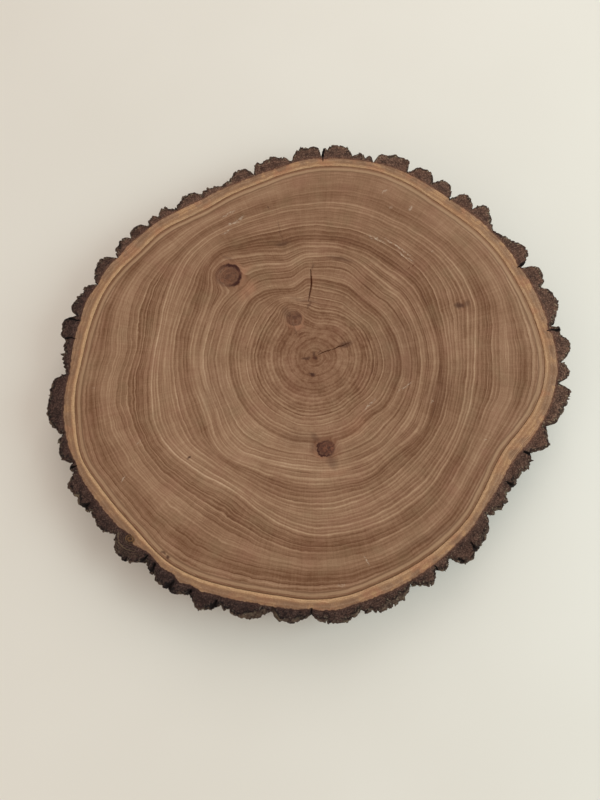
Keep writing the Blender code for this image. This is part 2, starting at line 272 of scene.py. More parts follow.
def grooves(points, size, layer, width, squeeze=1):
    """1 along winding lines, where the noise is 0, and down to 0 at this width of them."""
    return (1 - np.abs(lumps(points, size, layer, squeeze)) / width).clip(0, 1)


def tree_of(node):
    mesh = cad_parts[node].data
    corners = [vertex.co for vertex in mesh.vertices]
    faces = [tuple(face.vertices) for face in mesh.polygons]
    return BVHTree.FromPolygons(corners, faces)


def reach(tree, angles, z, inward=True):
    """Distance from the pith to a solid's wall at these angles and height, from outside or inside."""
    start = FAR_OUT if inward else 0
    sign = -1 if inward else 1
    found = np.empty(len(angles))
    for i, (origin, turn) in enumerate(zip(to_frame(angles, start, z), np.radians(angles))):
        way = Vector((sign * math.cos(turn), sign * math.sin(turn), 0))
        distance = tree.ray_cast(Vector(origin), way)[3] / MM
        found[i] = start + sign * distance
    return found


def new_object(name, data):
    thing = bpy.data.objects.new(name, data)
    bpy.context.scene.collection.objects.link(thing)
    return thing


def mesh_object(name, points, faces, attributes):
    """A mesh from points in metres, with smooth faces and one named number on each point."""
    mesh = bpy.data.meshes.new(name)
    mesh.from_pydata(points.reshape(-1, 3).tolist(), [], faces)
    mesh.validate()
    for key, values in attributes.items():
        layer = mesh.attributes.new(key, "FLOAT", "POINT")
        layer.data.foreach_set("value", np.ascontiguousarray(values, np.float32).ravel())
    mesh.shade_smooth()
    return new_object(name, mesh)


def quads(rows, columns, closed=False):
    """Faces between neighbouring rings of points, each ring closed round the trunk."""
    a = np.arange(columns)
    b = (a + 1) % columns
    faces = []
    for row in range(rows if closed else rows - 1):
        here = row * columns
        there = (row + 1) % rows * columns
        faces.append(np.stack([here + a, there + a, there + b, here + b], -1))
    return np.concatenate(faces).tolist()


# The wood


def ring_numbers(angles, radii, edge):
    """The growth ring that each point is in, as a number with a fraction, and how wide it is in mm."""
    levels = np.array([0, *RINGS, LAST_RING], float)
    loops = [smooth_loop(points, angles) for points in RINGS.values()]
    loops = np.array([np.zeros(len(angles)), *loops, edge])
    rate = np.diff(levels)[:, None] / np.diff(loops, axis=0)
    slope = np.concatenate([rate[:1], 2 * rate[:-1] * rate[1:] / (rate[:-1] + rate[1:]), rate[-1:]])
    numbers = np.empty(radii.shape)
    rates = np.empty(radii.shape)
    for i in range(len(angles)):
        k = np.searchsorted(loops[:, i], radii[:, i], side="right").clip(1, len(levels) - 1) - 1
        span = loops[k + 1, i] - loops[k, i]
        t = (radii[:, i] - loops[k, i]) / span
        numbers[:, i] = cubic(t, span, levels[k], slope[k, i], levels[k + 1], slope[k + 1, i])
        rates[:, i] = (
            (levels[k + 1] - levels[k]) * (6 * t - 6 * t**2) / span
            + slope[k, i] * (3 * t**2 - 4 * t + 1)
            + slope[k + 1, i] * (3 * t**2 - 2 * t)
        )
    return numbers, 1 / rates


def crack_depth(angles, radii, under=False):
    """How deep each point of one face lies in a crack, from 0 to 1, and the depth in mm."""
    x = radii * np.cos(np.radians(angles))
    y = radii * np.sin(np.radians(angles))
    share = np.zeros(x.shape)
    depth = np.zeros(x.shape)
    for points, deepest, through in CRACKS:
        if under and not through:
            continue
        line = [(r * math.cos(math.radians(a)), r * math.sin(math.radians(a)), w) for a, r, w in points]
        for (ax, ay, aw), (bx, by, bw) in zip(line, line[1:]):
            run = (bx - ax) ** 2 + (by - ay) ** 2
            t = (((x - ax) * (bx - ax) + (y - ay) * (by - ay)) / run).clip(0, 1)
            away = np.hypot(x - ax - t * (bx - ax), y - ay - t * (by - ay))
            here = (1 - away / (aw + t * (bw - aw))).clip(0, 1)
            share = np.maximum(share, here.clip(0, 0.5) * 2)
            depth = np.maximum(depth, here * deepest)
    return share, depth


def make_wood(tree):
    angles = np.arange(WOOD_COLUMNS) * 360 / WOOD_COLUMNS
    edge = reach(tree, angles, (TOP + BASE) / 2)
    top_share = np.linspace(0, 1, WOOD_TOP_ROWS + 1)[1:]
    base_share = np.linspace(1, 0, WOOD_BASE_ROWS + 1)[:-1]
    radii = np.concatenate([top_share, base_share])[:, None] * edge
    grid = np.broadcast_to(angles, radii.shape)
    heights = np.repeat((TOP, BASE), (WOOD_TOP_ROWS, WOOD_BASE_ROWS))[:, None] * np.ones_like(radii)
    rings, widths = ring_numbers(angles, radii, edge)
    on_top = heights > BASE
    share, depth = crack_depth(grid, radii)
    share_under, depth_under = crack_depth(grid, radii, under=True)
    heights = heights - np.where(on_top, depth, -depth_under)
    crack = np.where(on_top, share, share_under)

    # A point in the middle of each face closes the disc
    points = to_frame(grid, radii, heights).reshape(-1, 3)
    hubs = to_frame(np.zeros(2), np.zeros(2), np.array((TOP, BASE)))
    faces = quads(len(radii), WOOD_COLUMNS)
    count = len(points)
    last = count - WOOD_COLUMNS
    for i in range(WOOD_COLUMNS):
        j = (i + 1) % WOOD_COLUMNS
        faces.append((count, i, j))
        faces.append((count + 1, last + j, last + i))
    attributes = {
        "ring": np.append(rings, (0, 0)),
        "width": np.append(widths, (widths[0].mean(),) * 2),
        "rim": np.append(edge - radii, (edge.mean(),) * 2),
        "crack": np.append(crack, (0.5, 0.5)),
    }
    return mesh_object("wood_body", np.concatenate([points, hubs]), faces, attributes)


# The bark


def even_angles(tree):
    """Angles for the bark's columns, closer together where its outline runs in and out."""
    fine = np.arange(OUTLINE_SAMPLES) * 360 / OUTLINE_SAMPLES
    length = np.zeros(OUTLINE_SAMPLES)
    for z in (TOP - 0.1, TOP * 0.6, TOP * 0.2):
        radius = reach(tree, fine, z)
        step = np.minimum(np.abs(np.roll(radius, -1) - radius), 3)
        length += np.hypot(step, radius * math.radians(360 / OUTLINE_SAMPLES))
    travelled = np.concatenate([[0], np.cumsum(length)])
    marks = np.linspace(0, travelled[-1], BARK_COLUMNS + 1)[:-1]
    return np.interp(marks, travelled, np.append(fine, 360))


def envelope(radius):
    """The furthest that the wall reaches near each column, smoothed."""
    wide = SMOOTHED_COLUMNS
    reachable = radius.copy()
    for shift in range(1, int(FURROW_SPAN / 360 * BARK_COLUMNS) + 1):
        reachable = np.maximum(reachable, np.roll(radius, shift, -1))
        reachable = np.maximum(reachable, np.roll(radius, -shift, -1))
    kernel = np.ones(2 * wide + 1) / (2 * wide + 1)
    padded = np.concatenate([reachable[..., -wide:], reachable, reachable[..., :wide]], -1)
    return np.apply_along_axis(lambda row: np.convolve(row, kernel, "valid"), -1, padded)


def weathered(angles, radius, z, room):
    """The wall's radius with its plates, grooves and crumbs. room is how far they may go, from 0 to 1."""
    place = to_frame(angles, radius, z) / MM
    layers = crumbs(place, 11, 20, 3, 0.5) * 4
    steps = (np.floor(layers) + np.clip((layers % 1) * 3 - 2, 0, 1)) / 4
    grain = crumbs(place, 2.4, 30, 2, 0.5)
    dents = (crumbs(place, 5.5, 40, 2, 0.5) - 0.3).clip(0, 1)
    cut = PLATES * (0.6 - steps).clip(-0.3, 1.6) - GRAIN * grain + DENTS * dents
    cut += GROOVES * grooves(place, 3.6, 50, 0.3, 0.22)
    cut += FINE_GROOVES * grooves(place, 2.3, 51, 0.35, 0.3)
    return radius - room * (cut - OUTWARDS)


def bark_grid(tree):
    """Angles of the bark's columns, and the solid's inner wall, its levels and its outer wall."""
    angles = even_angles(tree)
    seam = reach(tree, angles, (TOP + BASE) / 2, inward=False)
    levels = np.array((TOP - SKIN, *WALL_LEVELS, BASE + SKIN))
    wall = np.array([reach(tree, angles, z) for z in levels])
    return angles, seam, levels, wall


def edge_distance(here, outline):
    """How far each point of the bark is from its upper edge, seen from above."""
    near = np.full(here.shape[:-1], np.inf)
    for shift in range(-EDGE_COLUMNS, EDGE_COLUMNS + 1):
        gap = here - np.roll(outline, shift, 0)
        near = np.minimum(near, np.hypot(gap[..., 0], gap[..., 1]))
    return near


def bark_cracks(grid, radii, place):
    """How deep each point of the sawn bark lies in a crack, and how near it is to one, which sets the
    painted shade of the hollows round the cracks.
    """
    sway = CRACK_SWAY * lumps(place, 4, 70)
    crumbly = 1.15 + 0.35 * lumps(place, 1.8, 71)
    pit = np.zeros(radii.shape)
    crumbled = np.zeros(radii.shape)
    for angle, outer, inner, half in BARK_CRACKS:
        across = np.radians(grid - angle) * radii + sway
        along = np.clip(np.maximum(inner - radii, radii - outer - 6), 0, None)
        fade = np.clip((radii - inner) / (outer - inner), 0.35, 1)
        away = np.hypot(across, along) / (half * fade)
        pit = np.maximum(pit, crumbly - away)
        crumbled = np.maximum(crumbled, 1 - away / HOLLOW_WIDTH)
    return pit.clip(0, 1), crumbled


def make_bark(tree):
    angles, seam, levels, solid_wall = bark_grid(tree)
    grid = np.broadcast_to(angles, solid_wall.shape)
    level_grid = levels[:, None] * np.ones_like(solid_wall)

    # Relief is lower where the bark is thin and near the underside
    room = np.clip((solid_wall - seam - 3) / 6, 0.15, 1) * np.clip((level_grid - BASE + 1) / 2, 0.4, 1)
    sunk = envelope(solid_wall) - solid_wall
    wall = weathered(grid, solid_wall, level_grid, room)
    rim = to_frame(angles, wall[0], 0) / MM
    notches = NOTCHES * grooves(rim, 4.2, 60, 0.4) + SMALL_NOTCHES * grooves(rim, 2.4, 61, 0.5)
    wall[0] = np.minimum(wall[0], wall[1]) - WORN - room[0] * notches

    # One grid of points runs over the upper face, down the wall and back over the underside
    top = seam + np.linspace(0, 1, FACE_ROWS + 1)[:, None] * (wall[0] - seam)
    base = seam + np.linspace(0, 1, BASE_ROWS + 1)[:, None] * (wall[-1] - seam)
    radii = np.concatenate([top, wall[1:-1], base[::-1]])
    heights = np.concatenate([np.full(top.shape, TOP), level_grid[1:-1], np.full(base.shape, BASE)])
    grid = np.broadcast_to(angles, radii.shape)
    side = slice(FACE_ROWS + 1, -(BASE_ROWS + 1))

    place = to_frame(grid, radii, 0) / MM
    outline = to_frame(angles, wall[0], 0) / MM
    crust = np.zeros(radii.shape)
    crust[side] = 1
    depth = np.zeros(radii.shape)
    depth[side] = sunk[1:-1]
    depth[:FACE_ROWS + 1] = sunk[0]
    pit, crumbled = bark_cracks(grid, radii, place)
    pit = np.where(heights > TOP - SKIN, pit, 0)
    inner_bark = np.interp(grid, *np.array([*INNER_BARK.items(), (360, INNER_BARK[0])]).T)
    attributes = {
        "out": radii - seam,
        "past": radii - inner_bark,
        "across": (radii - seam) / (inner_bark - seam),
        "edge": edge_distance(place, outline),
        "crust": crust,
        "sunk": depth,
        "pit": pit,
        "crumbled": crumbled,
    }
    points = to_frame(grid, radii, heights - pit * BARK_CRACK_DEPTH)
    low, high = [np.array(corner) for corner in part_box("bark")]
    points = np.clip(points, low, high)
    bark = mesh_object("bark_body", points, quads(len(radii), BARK_COLUMNS, True), attributes)
    return bark, make_flakes(points[side], depth[side], low, high)


def unit(vectors):
    return vectors / np.linalg.norm(vectors, axis=-1, keepdims=True)


def make_flakes(wall, sunk, low, high):
    """Small scales of bark that lie on the wall, each sunk into it."""
    draw = np.random.default_rng(SEED)
    shape = bmesh.new()
    bmesh.ops.create_icosphere(shape, subdivisions=1, radius=1)
    corners = np.array([corner.co for corner in shape.verts])
    faces = np.array([[corner.index for corner in face.verts] for face in shape.faces])
    shape.free()

    # Each lies along the wall, leaning a little
    rows, columns = wall.shape[:2]
    row = draw.integers(1, rows - 1, FLAKES)
    column = draw.integers(0, columns, FLAKES)
    along = unit(wall[row, (column + 2) % columns] - wall[row, column - 2])
    up = unit(wall[row - 1, column] - wall[row + 1, column])
    out = unit(np.cross(along, up))
    lean = draw.uniform(-FLAKE_LEAN, FLAKE_LEAN, (2, FLAKES, 1))
    along = unit(along + lean[0] * out)
    up = unit(up + lean[1] * out)

    size = np.array([draw.uniform(*span, FLAKES) for span in FLAKE_SIZES]).T * MM
    size = size * draw.uniform(*FLAKE_SCALES, (FLAKES, 1))
    local = corners[None] * draw.uniform(*FLAKE_CORNERS, (FLAKES, len(corners), 1)) * size[:, None]
    points = (wall[row, column] - FLAKE_DEPTH * size[:, 2:] * out)[:, None]
    for i, way in enumerate((along, up, out)):
        points = points + local[..., i:i + 1] * way[:, None]
    points = np.clip(points, low, high)
    every = (faces[None] + len(corners) * np.arange(FLAKES)[:, None, None]).reshape(-1, 3)
    depth = np.repeat(sunk[row, column], len(corners))
    attributes = {"crust": np.ones(len(depth)), "sunk": depth}
    return mesh_object("bark_flakes", points, every.tolist(), attributes)


# Materials


def paint(red, green, blue):
    """A colour given as it looks on a screen, from 0 to 255, for a shader."""
    shares = [channel / 255 for channel in (red, green, blue)]
    return (*[c / 12.92 if c <= 0.04045 else ((c + 0.055) / 1.055) ** 2.4 for c in shares], 1)


class Graph:
    """A material's node tree, with a short way to add each kind of node."""

    def __init__(self, name):
        self.material = bpy.data.materials.new(name)
        self.material.use_nodes = True
        self.tree = self.material.node_tree
        self.shader = self.tree.nodes["Principled BSDF"]

        # Where the surface is in the frame, in mm, its way from the pith, and the direction of that
        spot = self.add("TexCoord", {}).outputs["Object"]
        self.place = self.vector("MULTIPLY", spot, (1 / MM,) * 3)
        from_pith = self.vector("SUBTRACT", self.place, (*PITH, 0))
        self.flat = self.vector("MULTIPLY", from_pith, (1, 1, 0))
        self.around = self.vector("NORMALIZE", self.flat)

    def set(self, socket, value):
        if isinstance(value, bpy.types.NodeSocket):
            self.tree.links.new(value, socket)
        else:
            socket.default_value = value

    def add(self, kind, values, **settings):
        node = self.tree.nodes.new("ShaderNode" + kind)
        for key, value in settings.items():
            setattr(node, key, value)
        for key, value in values.items():
            self.set(node.inputs[key], value)
        return node

    def math(self, operation, *values):
        return self.add("Math", dict(enumerate(values)), operation=operation).outputs[0]

    def times(self, product, *others):
        for other in others:
            product = self.math("MULTIPLY", product, other)
        return product

    def plus(self, first, second):
        return self.math("ADD", first, second)

    def less(self, first, second):
        return self.math("SUBTRACT", first, second)

    def add_times(self, total, first, second):
        """The total with a product added."""
        return self.math("MULTIPLY_ADD", first, second, total)

    def apart(self, first, second):
        return self.math("ABSOLUTE", self.less(first, second))

    def shift(self, value, noise, amount):
        """The value, pushed up or down by noise, by half the amount at most."""
        return self.add_times(value, self.less(noise, 0.5), amount)

    def vector(self, operation, *values, output="Vector"):
        node = self.add("VectorMath", dict(enumerate(values)), operation=operation)
        return node.outputs[output]

    def scaled(self, vector, factor):
        return self.add("VectorMath", {0: vector, "Scale": factor}, operation="SCALE").outputs[0]

    def split(self, vector):
        return self.add("SeparateXYZ", {"Vector": vector}).outputs

    def joined(self, x, y, z):
        return self.add("CombineXYZ", {"X": x, "Y": y, "Z": z}).outputs[0]

    def attribute(self, name):
        return self.add("Attribute", {}, attribute_name=name).outputs["Fac"]

    def towards(self, x, y, flat=None):
        """How far the surface lies from the pith in one direction."""
        return self.vector("DOT_PRODUCT", flat or self.flat, (x, y, 0), output="Value")

    def noise(self, size, detail=2, roughness=0.5, at=None):
        values = {"Vector": at or self.place, "Scale": 1 / size, "Detail": detail, "Roughness": roughness}
        return self.add("TexNoise", values).outputs["Fac"]

    def rays(self, size, along, length, detail, roughness):
        """Noise in streaks away from the pith."""
        streaks = self.joined(0, 0, self.times(along, length))
        streaks = self.vector("ADD", self.scaled(self.around, size), streaks)
        return self.noise(1, detail, roughness, streaks)

    def noise_along(self, value, size, detail=2, roughness=0.5):
        values = {"W": value, "Scale": 1 / size, "Detail": detail, "Roughness": roughness}
        return self.add("TexNoise", values, noise_dimensions="1D").outputs["Fac"]

    def draw(self, number):
        """A random value for each whole number."""
        return self.add("TexWhiteNoise", {"W": number}, noise_dimensions="1D").outputs["Value"]

    def spots(self, size):
        """Distance from the nearest of many scattered points."""
        return self.add("TexVoronoi", {"Vector": self.place, "Scale": 1 / size}).outputs["Distance"]

    def fade(self, value, start, end, low=0, high=1):
        """Goes smoothly from low to high as the value goes from start to end."""
        values = {"Value": value, "From Min": start, "From Max": end, "To Min": low, "To Max": high}
        return self.add("MapRange", values, interpolation_type="SMOOTHSTEP").outputs[0]

    def ramp(self, value, stops):
        node = self.add("ValToRGB", {"Fac": value})
        elements = node.color_ramp.elements
        while len(elements) < len(stops):
            elements.new(1)
        for element, (position, colour) in zip(elements, stops):
            element.position = position
            element.color = colour
        return node.outputs["Color"]

    def mix(self, factor, first, second, blend="MIX"):
        node = self.add("Mix", {}, data_type="RGBA", blend_type=blend)
        self.set(node.inputs["Factor"], factor)
        self.set(node.inputs[6], first)
        self.set(node.inputs[7], second)
        return node.outputs[2]

    def tint(self, colour, other, value, start, end, amount=1):
        """Turns the colour to another, by the amount at most, as the value goes from start to end."""
        return self.mix(self.fade(value, start, end, 0, amount), colour, paint(*other))

    def finish(self, colour, roughness, specular, height, relief, strength):
        """Gives the shader its colour, its gloss and its relief in mm."""
        self.set(self.shader.inputs["Base Color"], colour)
        self.set(self.shader.inputs["Roughness"], roughness)
        self.shader.inputs["Specular IOR Level"].default_value = specular
        values = {"Height": height, "Distance": relief * MM, "Strength": strength}
        self.set(self.shader.inputs["Normal"], self.add("Bump", values).outputs["Normal"])
        return self.material


def grey(value):
    return (value, value, value, 1)


def painted(*stops):
    """Stops of a colour ramp from (position, colour on a screen)."""
    return [(position, paint(*colour)) for position, colour in stops]


def oval(graph, place, angle, radius, length, width, direction):
    """Distance from a point on the face, 1 at the edge of an oval, and how far along the oval it lies."""
    offset = graph.vector("SUBTRACT", place, tuple(to_frame(angle, radius, TOP) / MM))
    turn = math.radians(direction)
    along = graph.towards(math.cos(turn) * 2 / length, math.sin(turn) * 2 / length, offset)
    across = graph.towards(-math.sin(turn) * 2 / width, math.cos(turn) * 2 / width, offset)
    squares = graph.plus(graph.math("POWER", along, 2), graph.math("POWER", across, 2))
    return graph.math("SQRT", squares), along


# Knots: an oval (angle, radius, length, width, direction of its dark side), how many rings it pushes
# aside, and how dark it is inside, on its dark side and on the other
KNOTS = (
    ((115.4, 34.6, 12, 11, 300), 3, 0.42, 0.2, 0.1),
    ((134.7, 92.3, 19, 18.4, 20), 5, 0.5, 1, 0.2),
    ((277, 68.4, 12.8, 11, 195), 3.5, 0.95, 1, 0.4),
)

# Stains: (angle, radius, length, width, direction, strength)
STAINS = (
    (119.5, 40.5, 13, 8, 120, 0.3), (110, 34.5, 3.6, 4.4, 90, 0.6), (115.4, 34.6, 4, 4, 0, 0.4),
    (121.5, 26.5, 11, 2, 100, 0.35), (129.5, 102.5, 16, 4, 150, 0.3), (135.5, 71, 12, 6, 110, 0.2),
    (279.2, 78.4, 14, 9, 110, 0.42), (271, 60.6, 13, 6.5, 135, 0.4), (270, 67, 9, 8, 110, 0.3),
    (20.6, 118.5, 8.5, 5.5, 0, 0.8), (20.2, 124.5, 7, 6, 90, 0.45), (104.3, 95.5, 16, 6, 10, 0.5),
    (104.2, 106, 26, 1, 104, 0.4), (106.2, 128, 4, 1.6, 120, 0.6), (219.8, 115.9, 4.8, 3.4, 30, 0.95),
    (233.4, 175.1, 4.6, 3, 140, 0.75), (234.8, 175.3, 4.6, 3.6, 150, 0.9), (264, 12.8, 5.4, 4.4, 0, 1),
    (75, 82.5, 26, 5, 165, 0.35), (30, 0.8, 3.4, 4.4, 20, 0.95), (182, 6, 9.5, 2.2, 5, 0.8),
    (97, 3.6, 7, 2, 100, 0.7), (50, 6, 5, 1.5, 30, 0.5), (23, 25.5, 14, 6, 20, 0.62),
    (95.2, 41.5, 9, 2.6, 75, 0.45), (90.6, 74, 8, 2.2, 92, 0.4), (165, 79, 4, 1.6, 160, 0.4),
    (98, 46, 30, 3, 168, 0.3), (344, 96, 46, 22, 75, 0.12), (302, 152, 60, 9, 25, 0.15),
    (262, 62, 40, 18, 0, 0.15), (5, 62, 70, 44, 80, 0.12), (198, 74, 60, 36, 110, 0.1),
)
STAIN_COLOUR = (68, 38, 24)

# Warm, paler patches: as the stains
WARM_PATCHES = (
    (133.2, 73, 22, 13, 60, 0.34), (126.5, 88, 16, 7, 35, 0.24), (114, 26.5, 10, 5, 20, 0.26),
    (279, 86, 26, 9, 15, 0.14), (300, 60, 30, 14, 40, 0.15),
)
WARM_COLOUR = (176, 122, 92)

# A small whorl in the bark's face: an oval as above
WHORL = (225.7, 183.2, 6.8, 5.4, 330)

# Whitish scuffs: (angle, radius, length, width, direction)
SCUFFS = (
    (54, 111, 34, 2.2, 142), (49, 108, 22, 1.6, 138), (63, 108, 20, 3, 155), (67.5, 149, 7, 2.6, 45),
    (58, 145, 9, 3, 70), (63.5, 138, 5, 3, 40), (120, 126.5, 16, 2.4, 27), (117, 127.5, 12, 2, 30),
    (123.5, 122.5, 12, 2.4, 30), (119, 135.5, 20, 1.6, 28), (213.6, 163, 8, 1.4, 60),
    (276.5, 162.6, 6, 3.4, 20), (284, 151, 12, 1.4, 120), (207, 141, 7, 1.4, 40),
    (188, 163, 1.8, 1.4, 0), (339, 91.8, 3, 2, 60), (333.5, 138, 4, 2, 60), (341, 70, 18, 1.4, 35),
    (319, 54, 14, 2, 50), (43, 126, 2.6, 2.2, 0),
)

# How strong a year's light and dark line are, by the distance from the year's border over 4 mm
LIGHT_LINE = ((0, 0.15), (0.12, 1), (0.24, 0.8), (0.44, 0.1), (1, 0))
DARK_LINE = ((0, 0.5), (0.1, 1), (0.26, 0.6), (0.5, 0.1), (1, 0))
LINE_UNIT = 4
LIGHT_AMOUNT = 0.27
DARK_AMOUNT = -0.19
MIDDLE_TONE = 0.415

# Years that stand out: (number of the ring, half width in rings, how much lighter)
MARKED_YEARS = (
    (24.6, 0.5, 0.14), (27, 0.45, 0.1), (50, 0.6, 0.16), (48.3, 0.5, 0.13), (31.5, 1.6, 0.08),
    (39.5, 3, -0.13), (6.2, 0.9, -0.12), (16, 3, -0.05),
)

WOBBLE_SCALE = 0.16
WOBBLE = 5.5
KNOT_WOBBLE = 0.65


def year_lines(g, wander):
    """The light line and the dark line of each year, and both together, uneven in strength."""
    phase = g.math("FRACT", wander)
    year = g.math("FLOOR", wander)
    unit_width = g.times(g.attribute("width"), 1 / LINE_UNIT)
    since = g.times(phase, unit_width)
    until = g.times(g.less(1, phase), unit_width)
    light_line = g.ramp(since, [(at, grey(value)) for at, value in LIGHT_LINE])
    dark_line = g.ramp(until, [(at, grey(value)) for at, value in DARK_LINE])
    fading = g.rays(3.1, year, 3.7, 2, 0.5)
    first_draw = g.fade(g.draw(year), 0, 1, 0.4, 1)
    second_draw = g.fade(g.draw(g.plus(year, 0.5)), 0, 1, 0.2, 1)
    light_strength = g.times(g.fade(fading, 0.3, 0.62, 0.25, 1.1), first_draw)
    dark_strength = g.times(g.fade(fading, 0.7, 0.35, 0.35, 1), second_draw)
    lines = g.times(light_line, light_strength, LIGHT_AMOUNT)
    return light_line, dark_line, g.add_times(lines, g.times(dark_line, dark_strength), DARK_AMOUNT)


def wood_tone(g, reach_out, sway):
    """How light the wood is, from 0 to 1, and how far its year lines stand out."""
    uneven = g.shift(sway, g.noise_along(sway, 2.6, 1), 1.1)
    wander = g.shift(uneven, g.noise(3, 1), 0.22)
    light_line, dark_line, lines = year_lines(g, wander)
    calm = g.fade(g.towards(0.15, 1), 90, 135, 1, 0.5)
    clear = g.times(g.fade(reach_out, 4, 40, 0.4), g.fade(reach_out, 100, 135, 1, 0.76), calm)
    tone = g.add_times(MIDDLE_TONE, lines, clear)

    # Finer lines, dashes of pores along the rings, and rays across them
    tone = g.shift(tone, g.noise_along(wander, 0.5, 2, 0.6), 0.18)
    x, y, _ = g.split(g.around)
    dashes = g.joined(g.times(wander, 4), g.times(x, 16), g.times(y, 16))
    tone = g.shift(tone, g.noise(1, 3, 0.6, dashes), 0.3)
    tone = g.shift(tone, g.rays(130, reach_out, 0.05, 2, 0.5), 0.19)

    # Broad bands, fine lines in wide rings, and closer bands in the heartwood
    tone = g.shift(tone, g.noise_along(sway, 4.2, 2, 0.6), g.times(calm, 0.36))
    wide = g.fade(g.attribute("width"), 2.2, 4, 0.08, 0.5)
    tone = g.shift(tone, g.noise_along(g.plus(wander, 80), 0.3, 1), g.times(wide, calm))
    tone = g.shift(tone, g.noise_along(g.plus(sway, 40), 1.9, 1), g.fade(reach_out, 92, 36, 0, 0.36))
    for year, half, lighter in MARKED_YEARS:
        tone = g.plus(tone, g.fade(g.apart(sway, year), half, 0, 0, lighter))

    # Mottles, the dark pith, and slow changes over the face
    tone = g.shift(tone, g.noise(2.4, 3, 0.7), g.fade(reach_out, 80, 16, 0.05, 0.45))
    tone = g.plus(tone, g.fade(reach_out, 6.5, 1, 0, -0.22))
    blots = g.noise(7, 4, 0.6, g.vector("ADD", g.place, (90, 0, 0)))
    tone = g.shift(tone, blots, g.fade(reach_out, 60, 16, 0.12, 0.6))
    tone = g.shift(tone, g.noise(30, 3, 0.6), 0.34)
    tone = g.shift(tone, g.noise(0.9, 2, 0.7), 0.2)
    # Painted light: the face is lighter at the left, away from the window lamp on the right
    tone = g.plus(tone, g.fade(g.towards(1, 0), -30, -130, 0, 0.06))
    lower_left = g.towards(-0.6, -0.8)
    tone = g.plus(tone, g.times(g.fade(lower_left, 0, 70, 0, 0.11), g.fade(reach_out, 136, 108)))
    pale_rim = g.times(g.fade(lower_left, 10, -90, 0, 0.13), g.fade(g.attribute("rim"), 17, 7))
    return g.plus(tone, pale_rim), g.less(light_line, dark_line)


def with_knots(g, colour, knots):
    """Knots: darker wood with its own rings and spots, a dark edge on one side and a pale one past it."""
    patchy = g.noise(4, 3, 0.6)
    streaky = g.noise(1.9, 3, 0.7)
    for away, along_it, inside, dark_side, other_side in knots:
        soft_away = g.shift(away, patchy, 0.7)
        away = g.shift(away, streaky, inside * inside)
        colour = g.tint(colour, (108, 63, 41), soft_away, 2.3, 1, inside / 2)
        colour = g.tint(colour, (88, 50, 34), soft_away, 1.3, 0.6, inside)
        own_rings = g.times(g.fade(away, 1.05, 0.9), g.noise_along(away, 0.16, 1))
        colour = g.tint(colour, (126, 86, 62), own_rings, 0.42, 0.7, 0.7 * (1.15 - inside))
        within = g.fade(away, 1.1, 0.8)
        pale_spots = g.times(within, g.fade(patchy, 0.5, 0.36, 0, inside * 0.55))
        colour = g.mix(pale_spots, colour, paint(128, 80, 56))
        dark_spots = g.times(within, g.fade(streaky, 0.46, 0.64, 0, inside * 0.8))
        colour = g.mix(dark_spots, colour, paint(50, 30, 23))
        heart = min(inside, 1.1 - inside) * 0.9
        colour = g.tint(colour, (64, 37, 27), soft_away, 0.42, 0.1, heart)
        shade = g.times(g.fade(away, 0.15, 0.95), g.fade(away, 1.1, 0.95))
        shade = g.times(shade, g.fade(along_it, -0.3, 0.7, 0, dark_side * 0.6))
        colour = g.mix(shade, colour, paint(76, 45, 31))
        edge = g.times(g.fade(away, 0.74, 0.9), g.fade(away, 1.12, 0.98))
        edge = g.times(edge, g.fade(along_it, -0.7, 0.35, other_side, dark_side))
        edge = g.times(edge, g.fade(patchy, 0.3, 0.5, 0.7, 1))
        colour = g.mix(edge, colour, paint(56, 22, 12))
        halo = g.times(g.fade(away, 1.04, 1.18), g.fade(away, 1.5, 1.24))
        halo = g.times(halo, g.fade(along_it, -0.3, 0.8, 0, 0.5))
        colour = g.mix(halo, colour, paint(150, 106, 78))
    return colour


def with_scuffs(g, colour, near):
    scuff = 0
    for shape in SCUFFS:
        scuff = g.math("MAXIMUM", g.fade(oval(g, near, *shape)[0], 1.1, 0.2), scuff)
    broken = g.fade(g.noise(1.5, 3, 0.75), 0.42, 0.6)
    return g.mix(g.times(scuff, broken, 0.5), colour, paint(205, 184, 160))


def with_last_rings(g, colour):
    """The last ring is pale, and brown lines mark its border and the cambium."""
    rim_at = g.shift(g.attribute("rim"), g.noise(9, 2), 1)
    pale = g.times(g.fade(rim_at, 1.2, 2.1), g.fade(rim_at, 4.6, 3))
    colour = g.mix(g.times(pale, 0.55), colour, paint(168, 134, 101))
    at_left = g.fade(g.towards(1, 0), -60, -140, 0.55, 0.3)
    cambium = g.times(g.fade(rim_at, 1.5, 0.5), at_left)
    colour = g.mix(cambium, colour, paint(118, 76, 46))
    return g.tint(colour, (106, 74, 50), g.apart(rim_at, 4.2), 0.9, 0.2, 0.6)


